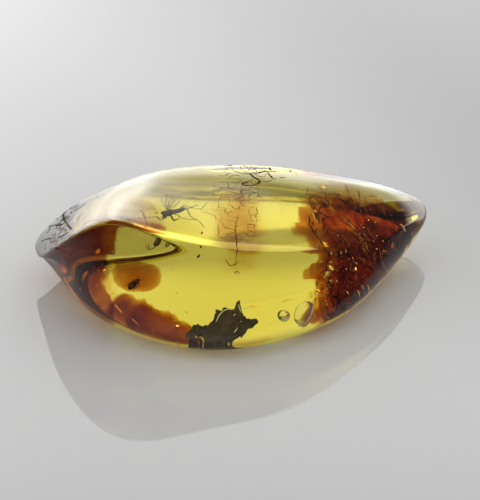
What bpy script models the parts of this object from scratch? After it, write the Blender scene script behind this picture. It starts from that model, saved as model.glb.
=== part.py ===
"""A polished nugget of amber with a fungus gnat, a beetle and a flake of bark inside it.

Metres, +Z up. The origin is under the middle of the nugget, in the flat that it rests on.
+X runs along its length to the sharp end, and -Y is the side with the tall front face.
The clear amber is parted in two along the sloping plane that the gnat, the beetle and the
flake lie in, so that each of them sits in a pocket. What is left of the lump's weathered
crust is a layer under each end. Sizes in the tables are millimetres.
"""
import bpy
import bmesh
import math
from mathutils import Matrix, Vector

MM = 0.001

# The nugget's outer form is lofted through stations along X. Each station says where the
# ridge, the front foot, the back foot and the back shoulder lie, as (y, z), and how high
# the underside is.
TIP_LEFT = (-21.2, 4.3, 3.4)
TIP_RIGHT = (21.2, 11.2, 4.0)
STATIONS = (
    # x      ridge          front foot     back foot     back shoulder  underside
    (-20.3, (0.4, 4.6), (1.4, 3.7), (5.9, 3.3), (6.5, 4.2), 3.2),
    (-18.6, (-3.8, 7.5), (-2.5, 4.7), (7.9, 2.6), (7.1, 5.5), 2.6),
    (-15.8, (-6.7, 10.8), (-7.6, 4.4), (9.1, 2.0), (7.1, 7.3), 1.2),
    (-12.2, (-8.3, 12.8), (-10.8, 3.6), (10.1, 1.6), (7.2, 9.0), 0.0),
    (-7.7, (-9.7, 12.3), (-13.0, 2.4), (11.1, 1.4), (7.9, 10.4), -0.3),
    (-2.3, (-9.8, 10.9), (-14.2, 1.8), (12.4, 1.2), (9.7, 10.2), -0.3),
    (3.3, (-9.1, 9.9), (-13.2, 1.8), (13.2, 1.2), (11.1, 9.5), -0.3),
    (8.7, (-6.6, 8.8), (-10.5, 2.2), (13.6, 1.4), (11.8, 8.5), -0.2),
    (13.3, (-2.5, 7.4), (-6.1, 2.9), (13.9, 1.8), (12.7, 7.3), 0.4),
    (17.3, (2.5, 6.1), (1.1, 3.2), (13.8, 2.4), (13.2, 6.0), 1.6),
    (20.2, (8.2, 4.8), (7.3, 3.5), (12.9, 3.4), (12.9, 4.7), 2.9),
)
FRONT_BULGE = 0.6
TOP_CROWN = 0.062  # as a share of the top face's width
RIDGE_CREASE = 0.5
SMOOTHNESS = 2  # subdivision levels
FITTING_PASSES = 6

# The plane that parts the amber passes through this point and rises towards the back.
# Places inside the nugget are (along X, up the slope, out of the plane) from that point.
PARTING_POINT = (0.0, -6.6, 4.7)
PARTING_TILT = math.radians(39)
PARTING_GAP = 0.3
CUTTER_REACH = 60.0

GNAT_PLACE = (-7.3, 5.55, 0.0)  # the middle of its thorax
BEETLE_PLACE = (-9.5, 0.35, 0.0)
BEETLE_TURN = math.radians(47)

# The red-brown crust left under each end and up its back wall. Each outline is its edge seen
# from above, as (x, y), and top is how high it reaches. Its inner face is the nugget's own
# form moved by the rise, so that it is thick underneath and at the back and has none in front.
RIGHT_CRUST_OUTLINE = (
    (6.9, -16.0), (6.9, -9.6), (6.2, -8.0), (6.8, -6.2), (6.1, -4.6), (6.8, -2.8), (6.0, -1.0),
    (6.5, 0.8), (5.5, 2.6), (5.3, 4.4), (4.9, 6.0), (5.9, 7.6), (5.8, 9.4), (6.7, 11.4),
    (7.0, 18.0), (17.2, 18.0), (17.2, 12.6), (16.5, 10.6), (17.2, 8.6), (17.0, 7.0), (24.0, 6.6),
    (24.0, -16.0),
)
RIGHT_CRUST_RISE = (0.0, -1.3, 1.6)
RIGHT_CRUST_TOP = 3.6
LEFT_CRUST_OUTLINE = (
    (-9.3, 18.0), (-9.2, 9.0), (-9.9, 6.8), (-9.3, 4.6), (-9.8, 2.4), (-8.7, 0.2), (-8.5, -1.8),
    (-7.0, -3.2), (-6.7, -5.2), (-5.0, -6.6), (-3.6, -8.6), (-3.4, -16.0), (-24.0, -16.0),
    (-24.0, 18.0),
)
LEFT_CRUST_RISE = (0.0, -2.6, 1.3)
LEFT_CRUST_TOP = 8.3
CRUST_EDGE_GAP = 0.3
CRUST_INNER_GAP = (0.0, -0.45, 0.3)
CRUST_INNER_SMOOTHNESS = 1
CRUST_CUTTER_HEIGHT = 36.0

# Ellipsoid pockets as (middle, half axes, turn about the plane's normal).
GNAT_POCKET = ((-5.6, 6.3, 0.0), (3.7, 3.4, 1.1), 0.0)
BEETLE_POCKET = (BEETLE_PLACE, (1.3, 0.95, 0.85), BEETLE_TURN)

# The bark flake's torn outline, and the recess round it.
FLAKE_OUTLINE = (
    (-4.5, -5.1), (-4.0, -4.6), (-3.9, -4.3), (-3.4, -4.2), (-2.9, -4.5), (-2.4, -4.4),
    (-2.1, -4.0), (-1.9, -3.5), (-1.8, -2.9), (-1.3, -3.1), (-0.9, -2.6), (-0.7, -2.8),
    (-0.1, -2.8), (0.1, -2.4), (0.4, -1.8), (0.5, -2.3), (0.7, -3.1), (1.1, -3.7),
    (1.6, -3.9), (2.1, -3.8), (2.3, -4.0), (2.0, -4.4), (1.3, -4.8), (0.8, -5.4),
    (-0.9, -5.8), (-2.4, -5.8), (-3.5, -5.7), (-4.2, -5.6),
)
FLAKE_THICKNESS = 0.45
FLAKE_CURL = 0.12
FLAKE_CELLS = (12, 8)
FLAKE_POCKET_OUTLINE = (
    (-5.2, -5.2), (-4.5, -3.9), (-2.6, -3.7), (-2.2, -2.5), (-0.9, -2.0), (0.1, -1.2),
    (0.8, -1.3), (1.4, -3.2), (2.9, -3.4), (2.9, -4.4), (1.3, -5.9), (-2.0, -6.3),
    (-4.5, -6.1),
)
FLAKE_POCKET_DEPTH = 1.3


# ---------------------------------------------------------------- scene and materials

for leftover in list(bpy.data.objects):
    bpy.data.objects.remove(leftover)

nugget_parts = bpy.data.collections.new("Insect in amber")
cutters = bpy.data.collections.new("Cutters")
for collection in (nugget_parts, cutters):
    bpy.context.scene.collection.children.link(collection)

parting = bpy.data.objects.new("parting_plane", None)
parting.location = [c * MM for c in PARTING_POINT]
parting.rotation_euler.x = PARTING_TILT
nugget_parts.objects.link(parting)


def material(name, colour, roughness, see_through=0.0, ior=1.5):
    finish = bpy.data.materials.new(name)
    finish.use_nodes = True
    shader = finish.node_tree.nodes["Principled BSDF"]
    shader.inputs["Base Color"].default_value = (*colour, 1.0)
    shader.inputs["Roughness"].default_value = roughness
    shader.inputs["Metallic"].default_value = 0.0
    shader.inputs["Transmission Weight"].default_value = see_through
    shader.inputs["IOR"].default_value = ior
    return finish


amber_material = material("Polished amber", (0.83, 0.56, 0.06), 0.03, 1.0, 1.54)
crust_material = material("Weathered crust", (0.26, 0.035, 0.010), 0.2, 0.3, 1.54)
gnat_material = material("Gnat's dark body", (0.045, 0.035, 0.035), 0.45)
beetle_material = material("Beetle's shell", (0.012, 0.008, 0.006), 0.3)
bark_material = material("Charred bark", (0.030, 0.017, 0.010), 0.8)


def add_object(name, mesh, collection, finish=None, parent=None):
    obj = bpy.data.objects.new(name, mesh)
    obj.parent = parent
    collection.objects.link(obj)
    if finish:
        mesh.materials.append(finish)
    if collection is not nugget_parts:
        obj.hide_render = True
        obj.display_type = "WIRE"
    return obj


def add_boolean(obj, operation, other):
    cut = obj.modifiers.new(operation.title() + " " + other.name, "BOOLEAN")
    cut.operation = operation
    if isinstance(other, bpy.types.Collection):
        cut.operand_type = "COLLECTION"
        cut.collection = other
    else:
        cut.object = other
    return cut


# ---------------------------------------------------------------- shapes used more than once

def mesh_of(name, build):
    """A new mesh that build(bm) fills, from millimetres to metres."""
    bm = bmesh.new()
    build(bm)
    bmesh.ops.scale(bm, vec=(MM, MM, MM), verts=bm.verts)
    mesh = bpy.data.meshes.new(name)
    bm.to_mesh(mesh)
    bm.free()
    return mesh


def ellipsoid(name, middle, half_axes, turn, collection, segments=20, rings=10):
    """An ellipsoid in the parting plane's frame, turned about the plane's normal."""
    place = Matrix.Translation(middle) @ Matrix.Rotation(turn, 4, "Z") @ Matrix.Diagonal((*half_axes, 1.0))
    mesh = mesh_of(name, lambda bm: bmesh.ops.create_uvsphere(
        bm, u_segments=segments, v_segments=rings, radius=1.0, matrix=place))
    mesh.shade_smooth()
    return add_object(name, mesh, collection, parent=parting)


def solid_from_curve(name, curve, collection, parent=parting):
    """The curve's solid as a mesh object, its caps welded to its sides."""
    guide = bpy.data.objects.new(name + "_guide", curve)
    guide.parent = parent
    bpy.context.scene.collection.objects.link(guide)
    bpy.context.view_layer.update()
    mesh = bpy.data.meshes.new_from_object(guide.evaluated_get(bpy.context.evaluated_depsgraph_get()))
    bpy.data.objects.remove(guide)
    bm = bmesh.new()
    bm.from_mesh(mesh)
    bmesh.ops.remove_doubles(bm, verts=bm.verts, dist=1e-6)
    bmesh.ops.recalc_face_normals(bm, faces=bm.faces)
    bm.to_mesh(mesh)
    bm.free()
    return add_object(name, mesh, collection, parent=parent)


def slab(name, outline, thickness, collection, middle=(0.0, 0.0, 0.0), parent=parting, inset=0.0):
    """A flat plate of this outline, half of its thickness on each side of middle."""
    curve = bpy.data.curves.new(name, "CURVE")
    curve.dimensions = "2D"
    curve.fill_mode = "BOTH"
    curve.extrude = thickness / 2 * MM
    curve.offset = -inset * MM
    spline = curve.splines.new("POLY")
    spline.points.add(len(outline) - 1)
    spline.use_cyclic_u = True
    for point, (u, v) in zip(spline.points, outline):
        point.co = ((u + middle[0]) * MM, (v + middle[1]) * MM, 0.0, 1.0)
    obj = solid_from_curve(name, curve, collection, parent)
    for vertex in obj.data.vertices:
        vertex.co.z += middle[2] * MM
    return obj


def limb(name, route, start_radius, end_radius, collection, middle):
    """A six-sided tapering tube through the route's points, which are set out from middle."""
    curve = bpy.data.curves.new(name, "CURVE")
    curve.dimensions = "3D"
    curve.bevel_depth = MM
    curve.bevel_resolution = 1
    curve.use_fill_caps = True
    spline = curve.splines.new("POLY")
    spline.points.add(len(route) - 1)
    for i, (point, place) in enumerate(zip(spline.points, route)):
        point.co = (*((p + m) * MM for p, m in zip(place, middle)), 1.0)
        point.radius = start_radius + (end_radius - start_radius) * i / (len(route) - 1)
    return solid_from_curve(name, curve, collection)


# ---------------------------------------------------------------- the amber

def between(a, b, share):
    """The point that lies this share of the way from a to b."""
    return tuple(p + (q - p) * share for p, q in zip(a, b))


def ring_of(ridge, front_foot, back_foot, shoulder, underside):
    """Eight (y, z) points round a station, from the ridge down the front and back over the top."""
    front = between(ridge, front_foot, 0.5)
    top = between(ridge, shoulder, 0.5)
    under_front = between(front_foot, back_foot, 0.22)
    under_back = between(front_foot, back_foot, 0.78)
    return (
        ridge,
        (front[0] - FRONT_BULGE, front[1]),
        front_foot,
        (under_front[0], underside),
        (under_back[0], underside),
        back_foot,
        shoulder,
        (top[0], top[1] + TOP_CROWN * (shoulder[0] - ridge[0])),
    )


def nugget_cage():
    """The coarse mesh through the stations, with the ridge's edges creased."""
    rings = [[(x, y, z) for y, z in ring_of(*rest)] for x, *rest in STATIONS]
    corners = len(rings[0])
    points = [TIP_LEFT] + [point for ring in rings for point in ring] + [TIP_RIGHT]
    tip_left, tip_right = 0, len(points) - 1

    def at(station, corner):
        return 1 + station * corners + corner % corners

    faces = [(tip_left, at(0, j + 1), at(0, j)) for j in range(corners)]
    for i in range(len(rings) - 1):
        for j in range(corners):
            faces.append((at(i, j), at(i, j + 1), at(i + 1, j + 1), at(i + 1, j)))
    end = len(rings) - 1
    faces += [(tip_right, at(end, j), at(end, j + 1)) for j in range(corners)]

    mesh = bpy.data.meshes.new("nugget_cage")
    mesh.from_pydata([tuple(c * MM for c in point) for point in points], [], faces)
    on_ridge = {at(i, 0) for i in range(len(rings))}
    crease = mesh.attributes.new("crease_edge", "FLOAT", "EDGE")
    for edge in mesh.edges:
        if set(edge.vertices) <= on_ridge:
            crease.data[edge.index].value = RIDGE_CREASE
    mesh.shade_smooth()
    return mesh


def add_smoothing(obj, levels=SMOOTHNESS):
    smooth = obj.modifiers.new("Smooth", "SUBSURF")
    smooth.levels = smooth.render_levels = levels


def fit_cage(mesh):
    """Pushes the cage out until the smooth surface passes through the points it was given."""
    wanted = [vertex.co.copy() for vertex in mesh.vertices]
    trial = bpy.data.objects.new("trial", mesh)
    bpy.context.scene.collection.objects.link(trial)
    add_smoothing(trial)
    for _ in range(FITTING_PASSES):
        smooth = trial.evaluated_get(bpy.context.evaluated_depsgraph_get()).to_mesh()
        reached = [smooth.vertices[i].co.copy() for i in range(len(wanted))]
        for vertex, target, found in zip(mesh.vertices, wanted, reached):
            vertex.co += target - found
        mesh.update()
        trial.update_tag()
        bpy.context.view_layer.update()
    bpy.data.objects.remove(trial)


def block(name, middle, parent):
    """A big box that keeps one side of a plane."""
    mesh = mesh_of(name, lambda bm: bmesh.ops.create_cube(
        bm, size=CUTTER_REACH, matrix=Matrix.Translation(middle)))
    return add_object(name, mesh, cutters, parent=parent)


def amber_half(name, cage, side, floor, pockets):
    """The part of the nugget above the floor and on one side of the parting plane."""
    half = add_object(name, cage.copy(), nugget_parts, amber_material)
    add_smoothing(half)
    add_boolean(half, "INTERSECT", floor)
    add_boolean(half, "INTERSECT", side)
    for pocket in pockets:
        add_boolean(half, "DIFFERENCE", pocket)
    return half


cage = nugget_cage()
fit_cage(cage)
above_floor = block("above_floor", (0.0, 0.0, CUTTER_REACH / 2), None)
off_plane = (CUTTER_REACH + PARTING_GAP) / 2
front_side = block("front_side", (0.0, 0.0, off_plane), parting)
back_side = block("back_side", (0.0, 0.0, -off_plane), parting)
pockets = (
    ellipsoid("gnat_pocket", *GNAT_POCKET, cutters),
    ellipsoid("beetle_pocket", *BEETLE_POCKET, cutters, segments=16, rings=8),
    slab("flake_pocket", FLAKE_POCKET_OUTLINE, FLAKE_POCKET_DEPTH, cutters),
)
amber_half("amber_front", cage, front_side, above_floor, pockets)
amber_back = amber_half("amber_back", cage, back_side, above_floor, pockets)


# ---------------------------------------------------------------- the crust

def inner_form(name, rise):
    """The nugget's form, moved by the rise."""
    form = add_object(name, cage.copy(), cutters)
    form.location = [c * MM for c in rise]
    add_smoothing(form, CRUST_INNER_SMOOTHNESS)
    return form


def crust_layer(name, outline, rise, top):
    """The crust inside the outline and outside the inner form, and the room for it in the amber."""
    below_top = top - CRUST_CUTTER_HEIGHT / 2
    layer = add_object(name, cage.copy(), nugget_parts, crust_material)
    add_smoothing(layer)
    add_boolean(layer, "INTERSECT", above_floor)
    add_boolean(layer, "INTERSECT", back_side)
    add_boolean(layer, "INTERSECT", slab(name + "_edge", outline, CRUST_CUTTER_HEIGHT, cutters,
                                         (0.0, 0.0, below_top - CRUST_EDGE_GAP), None, CRUST_EDGE_GAP))
    add_boolean(layer, "DIFFERENCE", inner_form(name + "_inner", rise))

    room = slab(name + "_room", outline, CRUST_CUTTER_HEIGHT, cutters, (0.0, 0.0, below_top), None)
    room_rise = [r + g for r, g in zip(rise, CRUST_INNER_GAP)]
    add_boolean(room, "DIFFERENCE", inner_form(name + "_room_inner", room_rise))
    add_boolean(amber_back, "DIFFERENCE", room)


crust_layer("crust_right", RIGHT_CRUST_OUTLINE, RIGHT_CRUST_RISE, RIGHT_CRUST_TOP)
crust_layer("crust_left", LEFT_CRUST_OUTLINE, LEFT_CRUST_RISE, LEFT_CRUST_TOP)


# ---------------------------------------------------------------- the gnat

# All from the middle of the thorax, as (along X, up the slope, out of the plane).
BODY_TURN = math.radians(34)
THORAX = ((0.0, 0.0, 0.0), (0.66, 0.50, 0.44))
HEAD = ((-0.32, -0.72, 0.0), (0.26, 0.25, 0.27))
ABDOMEN = (  # overlapping rings down to the tail: (middle, half axes)
    ((0.62, 0.48, 0.0), (0.46, 0.33, 0.32)),
    ((1.02, 0.80, 0.0), (0.40, 0.31, 0.30)),
    ((1.40, 1.08, 0.0), (0.38, 0.27, 0.26)),
    ((1.76, 1.34, 0.0), (0.34, 0.20, 0.20)),
    ((2.06, 1.56, 0.0), (0.24, 0.12, 0.12)),
)
WING_OUTLINE = (
    (0.30, 0.20), (0.16, 0.90), (0.25, 1.60), (0.55, 2.35), (0.93, 3.15), (1.27, 3.42),
    (1.62, 3.38), (1.80, 2.90), (1.60, 2.20), (1.25, 1.60), (0.80, 1.00), (0.55, 0.35),
)
WING_THICKNESS = 0.06
WING_OFFSETS = ((0.0, 0.20), (-0.14, -0.20))  # (shift along X, out of the plane)
LEGS = {
    "front_near": ((0.20, -0.10, 0.20), (0.52, -0.38, 0.32), (0.63, -1.20, 0.30), (1.30, -0.50, 0.30)),
    "front_far": ((0.10, -0.10, -0.20), (0.36, -0.50, -0.32), (0.46, -1.05, -0.30), (1.10, -0.75, -0.30)),
    "mid_near": ((0.40, 0.05, 0.20), (1.08, 0.02, 0.34), (1.47, -0.42, 0.34), (2.16, -0.53, 0.30),
                 (3.05, -0.44, 0.20)),
    "mid_far": ((0.40, 0.20, -0.20), (1.20, 0.60, -0.44), (1.90, 1.00, -0.44), (2.49, 1.38, -0.36),
                (2.96, 1.81, -0.28), (3.45, 2.03, -0.20)),
    "hind_near": ((0.50, 0.15, 0.20), (1.42, 0.43, 0.40), (2.20, 1.22, 0.40), (2.53, 0.00, 0.36),
                  (3.44, -0.75, 0.24), (3.83, -1.52, 0.10)),
    "hind_far": ((0.50, 0.35, -0.20), (1.30, 0.95, -0.34), (2.02, 1.80, -0.34), (2.49, 1.45, -0.30),
                 (3.17, 1.45, -0.24), (3.70, 1.30, -0.16), (4.42, 2.50, 0.0)),
}
LEG_RADII = (0.085, 0.045)
ANTENNAE = {
    "antenna_near": ((-0.32, -0.80, 0.12), (-0.45, -1.15, 0.18), (-0.84, -1.40, 0.20), (-0.93, -0.76, 0.22)),
    "antenna_far": ((-0.32, -0.80, -0.12), (-0.52, -1.05, -0.18), (-0.88, -1.22, -0.20), (-1.12, -0.70, -0.22)),
}
ANTENNA_RADII = (0.06, 0.04)


def set_out(middle, place):
    """A place given from a piece's middle, as one from the parting plane's point."""
    return tuple(m + p for m, p in zip(middle, place))


def joined(name, pieces, finish):
    """The pieces as one solid: the first, with the rest united to it."""
    first, *rest = pieces
    for piece in rest:
        add_boolean(first, "UNION", piece)
    cutters.objects.unlink(first)
    nugget_parts.objects.link(first)
    first.name = name
    first.hide_render = False
    first.display_type = "TEXTURED"
    first.data.materials.append(finish)
    return first


def gnat():
    pieces = [
        ellipsoid("gnat_thorax", set_out(GNAT_PLACE, THORAX[0]), THORAX[1], BODY_TURN, cutters, 16, 10),
        ellipsoid("gnat_head", set_out(GNAT_PLACE, HEAD[0]), HEAD[1], 0.0, cutters, 12, 8),
    ]
    for i, (middle, half_axes) in enumerate(ABDOMEN):
        pieces.append(ellipsoid(f"gnat_abdomen_{i}", set_out(GNAT_PLACE, middle), half_axes,
                                BODY_TURN, cutters, 12, 8))
    for i, (shift, out) in enumerate(WING_OFFSETS):
        pieces.append(slab(f"gnat_wing_{i}", WING_OUTLINE, WING_THICKNESS, cutters,
                           set_out(GNAT_PLACE, (shift, 0.0, out))))
    for name, route in LEGS.items():
        pieces.append(limb("gnat_leg_" + name, route, *LEG_RADII, cutters, GNAT_PLACE))
    for name, route in ANTENNAE.items():
        pieces.append(limb("gnat_" + name, route, *ANTENNA_RADII, cutters, GNAT_PLACE))
    return joined("gnat", pieces, gnat_material)


gnat()


# ---------------------------------------------------------------- the beetle

# From the beetle's middle, along its body before it is turned.
WING_CASES = ((-0.22, 0.0, 0.0), (0.50, 0.30, 0.26))
NECK_SHIELD = ((0.33, 0.0, 0.0), (0.27, 0.26, 0.23))
BEETLE_HEAD = ((0.60, 0.0, -0.02), (0.17, 0.18, 0.16))
BEETLE_LEG_STATIONS = (-0.30, 0.02, 0.36)
BEETLE_LEG = ((0.0, 0.0, -0.02), (0.0, 0.34, -0.14), (-0.10, 0.50, -0.10), (-0.22, 0.58, -0.16))
BEETLE_LEG_RADII = (0.06, 0.04)


def turned(place, turn):
    """The place turned about the plane's normal."""
    return tuple(Matrix.Rotation(turn, 3, "Z") @ Vector(place))


def beetle():
    pieces = []
    for name, (middle, half_axes) in (
        ("wing_cases", WING_CASES), ("neck_shield", NECK_SHIELD), ("head", BEETLE_HEAD),
    ):
        place = set_out(BEETLE_PLACE, turned(middle, BEETLE_TURN))
        pieces.append(ellipsoid("beetle_" + name, place, half_axes, BEETLE_TURN, cutters, 14, 8))
    for i, along in enumerate(BEETLE_LEG_STATIONS):
        for side in (1, -1):
            route = [turned((along + u, side * v, w), BEETLE_TURN) for u, v, w in BEETLE_LEG]
            pieces.append(limb(f"beetle_leg_{i}_{side}", route, *BEETLE_LEG_RADII, cutters, BEETLE_PLACE))
    return joined("beetle", pieces, beetle_material)


beetle()


# ---------------------------------------------------------------- the flake of bark

def curl(u, v):
    """How far the flake bends out of the plane at (u, v)."""
    return FLAKE_CURL * (math.sin(1.3 * u + 0.4) * math.cos(1.1 * v) - 0.3 * math.sin(2.6 * u + 1.7 * v))


def curled_sheet(bm):
    """A bent sheet that covers the flake's outline."""
    across = [u for u, v in FLAKE_OUTLINE]
    up = [v for u, v in FLAKE_OUTLINE]
    middle = ((min(across) + max(across)) / 2, (min(up) + max(up)) / 2, 0.0)
    size = (max(across) - min(across) + 1, max(up) - min(up) + 1, 1.0)
    place = Matrix.Translation(middle) @ Matrix.Diagonal((*size, 1.0))
    bmesh.ops.create_grid(bm, x_segments=FLAKE_CELLS[0], y_segments=FLAKE_CELLS[1], size=0.5, matrix=place)
    for vertex in bm.verts:
        vertex.co.z = curl(vertex.co.x, vertex.co.y)


flake = add_object("bark_flake", mesh_of("bark_flake", curled_sheet), nugget_parts, bark_material, parting)
thicken = flake.modifiers.new("Thickness", "SOLIDIFY")
thicken.thickness = FLAKE_THICKNESS * MM
thicken.offset = 0.0
add_boolean(flake, "INTERSECT", slab("flake_outline", FLAKE_OUTLINE, FLAKE_POCKET_DEPTH, cutters))
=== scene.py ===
"""The looks of a polished amber nugget that holds a fungus gnat, a beetle and a flake of bark.

Metres, +Z up. +X runs along the nugget to its sharp end, and -Y is the side with the tall
front face. Tables are in millimetres, and MM turns them into metres.
"""
import bpy
import bmesh
import math
import random
from mathutils import Matrix, Vector, geometry, noise
from mathutils.bvhtree import BVHTree


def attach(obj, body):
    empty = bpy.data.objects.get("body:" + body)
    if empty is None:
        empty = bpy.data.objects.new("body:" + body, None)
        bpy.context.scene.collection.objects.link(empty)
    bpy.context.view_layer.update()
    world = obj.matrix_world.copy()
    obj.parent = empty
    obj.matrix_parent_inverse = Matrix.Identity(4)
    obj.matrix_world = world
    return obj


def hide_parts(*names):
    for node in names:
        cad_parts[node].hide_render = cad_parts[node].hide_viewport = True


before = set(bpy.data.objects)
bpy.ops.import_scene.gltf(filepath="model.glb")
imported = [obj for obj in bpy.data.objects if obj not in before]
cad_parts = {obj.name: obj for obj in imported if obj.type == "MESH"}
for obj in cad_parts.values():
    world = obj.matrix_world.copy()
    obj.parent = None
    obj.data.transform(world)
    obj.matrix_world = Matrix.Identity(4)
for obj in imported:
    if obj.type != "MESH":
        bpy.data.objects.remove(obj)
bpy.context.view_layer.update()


# ---- the camera

# A macro lens on a tripod, some way off and square to the nugget's length. It looks down
# over the front face at the top.
CAMERA_LENS = 200.0
CAMERA_ELEVATION = math.radians(28)
CAMERA_DISTANCE = 0.2930
CAMERA_TARGET = Vector((0.0008, -0.0004, 0.0054))

camera_data = bpy.data.cameras.new("camera")
camera_data.lens = CAMERA_LENS
camera_data.clip_start = 0.01
camera = bpy.data.objects.new("camera", camera_data)
away = Vector((0.0, -math.cos(CAMERA_ELEVATION), math.sin(CAMERA_ELEVATION)))
camera.location = CAMERA_TARGET + away * CAMERA_DISTANCE
camera.rotation_euler = away.to_track_quat("Z", "Y").to_euler()
bpy.context.scene.collection.objects.link(camera)
bpy.context.scene.camera = camera


# ---- the clear amber

# One nugget of fossil resin, cut from the rough and polished all over on a cloth wheel.
# It is clear and honey yellow, with a sharp ridge between its top and its front, and it
# stands on a flat that was ground on its underside.
MM = 0.001
TIP_LEFT = (-21.2, 4.3, 3.4)
TIP_RIGHT = (21.2, 11.2, 4.0)
STATIONS = (
    # x      ridge          front foot     back foot     back shoulder  underside
    (-20.3, (0.4, 4.6), (1.4, 3.7), (5.9, 3.3), (6.5, 4.2), 3.2),
    (-18.6, (-3.8, 7.5), (-2.5, 4.7), (7.9, 2.6), (7.1, 5.5), 2.6),
    (-15.8, (-6.7, 10.8), (-7.6, 4.4), (9.1, 2.0), (7.1, 7.3), 1.2),
    (-12.2, (-8.3, 12.8), (-10.8, 3.6), (10.1, 1.6), (7.2, 9.0), 0.0),
    (-7.7, (-9.7, 12.3), (-13.0, 2.4), (11.1, 1.4), (7.9, 10.4), -0.3),
    (-2.3, (-9.8, 10.9), (-14.2, 1.8), (12.4, 1.2), (9.7, 10.2), -0.3),
    (3.3, (-9.1, 9.9), (-13.2, 1.8), (13.2, 1.2), (11.1, 9.5), -0.3),
    (8.7, (-6.6, 8.8), (-10.5, 2.2), (13.6, 1.4), (11.8, 8.5), -0.2),
    (13.3, (-2.5, 7.4), (-6.1, 2.9), (13.9, 1.8), (12.7, 7.3), 0.4),
    (17.3, (2.5, 6.1), (1.1, 3.2), (13.8, 2.4), (13.2, 6.0), 1.6),
    (20.2, (8.2, 4.8), (7.3, 3.5), (12.9, 3.4), (12.9, 4.7), 2.9),
)
FRONT_BULGE = 0.6
TOP_CROWN = 0.062  # as a share of the top face's width
FLAT_EDGES = (0.22, 0.78)  # of the underside's flat, as shares of the way from front to back
RIDGE_CREASE = 0.5
FITTING_LEVELS = 2
FITTING_PASSES = 6
POLISHED_LEVELS = 4
GRINDING_EASE = 0.15

AMBER_IOR = 1.54
AMBER_DENSITY = 140.0
AMBER_COLOUR = (0.90, 0.857, 0.30)


def between(a, b, share):
    """The point that lies this share of the way from a to b."""
    return tuple(p + (q - p) * share for p, q in zip(a, b))


def ring_of(ridge, front_foot, back_foot, shoulder, underside):
    """Eight (y, z) points round a station, from the ridge down the front and back over the top."""
    front = between(ridge, front_foot, 0.5)
    top = between(ridge, shoulder, 0.5)
    under_front, under_back = (between(front_foot, back_foot, share) for share in FLAT_EDGES)
    crown = TOP_CROWN * (shoulder[0] - ridge[0])
    return (ridge, (front[0] - FRONT_BULGE, front[1]), front_foot, (under_front[0], underside),
            (under_back[0], underside), back_foot, shoulder, (top[0], top[1] + crown))


def nugget_cage():
    """The coarse mesh through the stations, with the ridge's edges creased."""
    rings = [[(x, y, z) for y, z in ring_of(*rest)] for x, *rest in STATIONS]
    corners = len(rings[0])
    points = [TIP_LEFT] + [point for ring in rings for point in ring] + [TIP_RIGHT]

    def at(station, corner):
        return 1 + station * corners + corner % corners

    end = len(rings) - 1
    faces = [(0, at(0, j + 1), at(0, j)) for j in range(corners)]
    for i in range(end):
        for j in range(corners):
            faces.append((at(i, j), at(i, j + 1), at(i + 1, j + 1), at(i + 1, j)))
    faces += [(len(points) - 1, at(end, j), at(end, j + 1)) for j in range(corners)]
    mesh = bpy.data.meshes.new("nugget_cage")
    mesh.from_pydata([tuple(c * MM for c in point) for point in points], [], faces)
    on_ridge = {at(i, 0) for i in range(len(rings))}
    crease = mesh.attributes.new("crease_edge", "FLOAT", "EDGE")
    for edge in mesh.edges:
        if set(edge.vertices) <= on_ridge:
            crease.data[edge.index].value = RIDGE_CREASE
    return mesh


def subdivided(mesh, levels):
    """The mesh after this many levels of smoothing."""
    trial = bpy.data.objects.new("trial", mesh)
    bpy.context.scene.collection.objects.link(trial)
    smooth = trial.modifiers.new("Smooth", "SUBSURF")
    smooth.levels = levels
    bpy.context.view_layer.update()
    result = bpy.data.meshes.new_from_object(trial.evaluated_get(bpy.context.evaluated_depsgraph_get()))
    bpy.data.objects.remove(trial)
    return result


def ground_flat(z):
    """The height once the underside is ground, with the flat's edge a little rounded."""
    ease = GRINDING_EASE * MM
    if z > ease:
        return z
    return 0.0 if z < -ease else (z + ease) ** 2 / (4 * ease)


def polished_nugget():
    """The smooth nugget through its stations, ground flat underneath."""
    cage = nugget_cage()
    wanted = [vertex.co.copy() for vertex in cage.vertices]
    for _ in range(FITTING_PASSES):
        reached = subdivided(cage, FITTING_LEVELS)
        for vertex, target, found in zip(cage.vertices, wanted, reached.vertices):
            vertex.co += target - found.co
    mesh = subdivided(cage, POLISHED_LEVELS)
    for vertex in mesh.vertices:
        vertex.co.z = ground_flat(vertex.co.z)
    mesh.shade_smooth()
    return mesh


def with_values(node, **values):
    """The node once these constant values are on its inputs."""
    for socket, value in values.items():
        node.inputs[socket.replace("_", " ")].default_value = value
    return node


def new_finish(name, colour, **values):
    """A material whose Principled shader has these constant values, and that shader."""
    finish = bpy.data.materials.new(name)
    finish.use_nodes = True
    shader = finish.node_tree.nodes["Principled BSDF"]
    return finish, with_values(shader, Base_Color=(*colour, 1.0), **values)


def clear_body(name, colour, density, ior):
    """A clear finish that takes colour out of light along its path. At IOR 1 it has no surface."""
    finish, _ = new_finish(name, (1.0, 1.0, 1.0), Roughness=0.0, Transmission_Weight=1.0, IOR=ior)
    nodes = finish.node_tree.nodes
    body = with_values(nodes.new("ShaderNodeVolumeAbsorption"), Color=(*colour, 1.0), Density=density)
    finish.node_tree.links.new(body.outputs["Volume"], nodes["Material Output"].inputs["Volume"])
    return finish


def place(name, mesh, finish, slot, *replaced):
    """The mesh as a piece of the nugget."""
    piece = bpy.data.objects.new(name, mesh)
    mesh.materials.append(finish)
    bpy.context.scene.collection.objects.link(piece)
    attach(piece, "root")
    if replaced:
        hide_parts(*replaced)
    return piece


amber_finish = clear_body("Polished amber", AMBER_COLOUR, AMBER_DENSITY, AMBER_IOR)
amber = place("clear_amber", polished_nugget(), amber_finish, "amber", "amber_front", "amber_back")


# ---- the weathered crust

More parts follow.
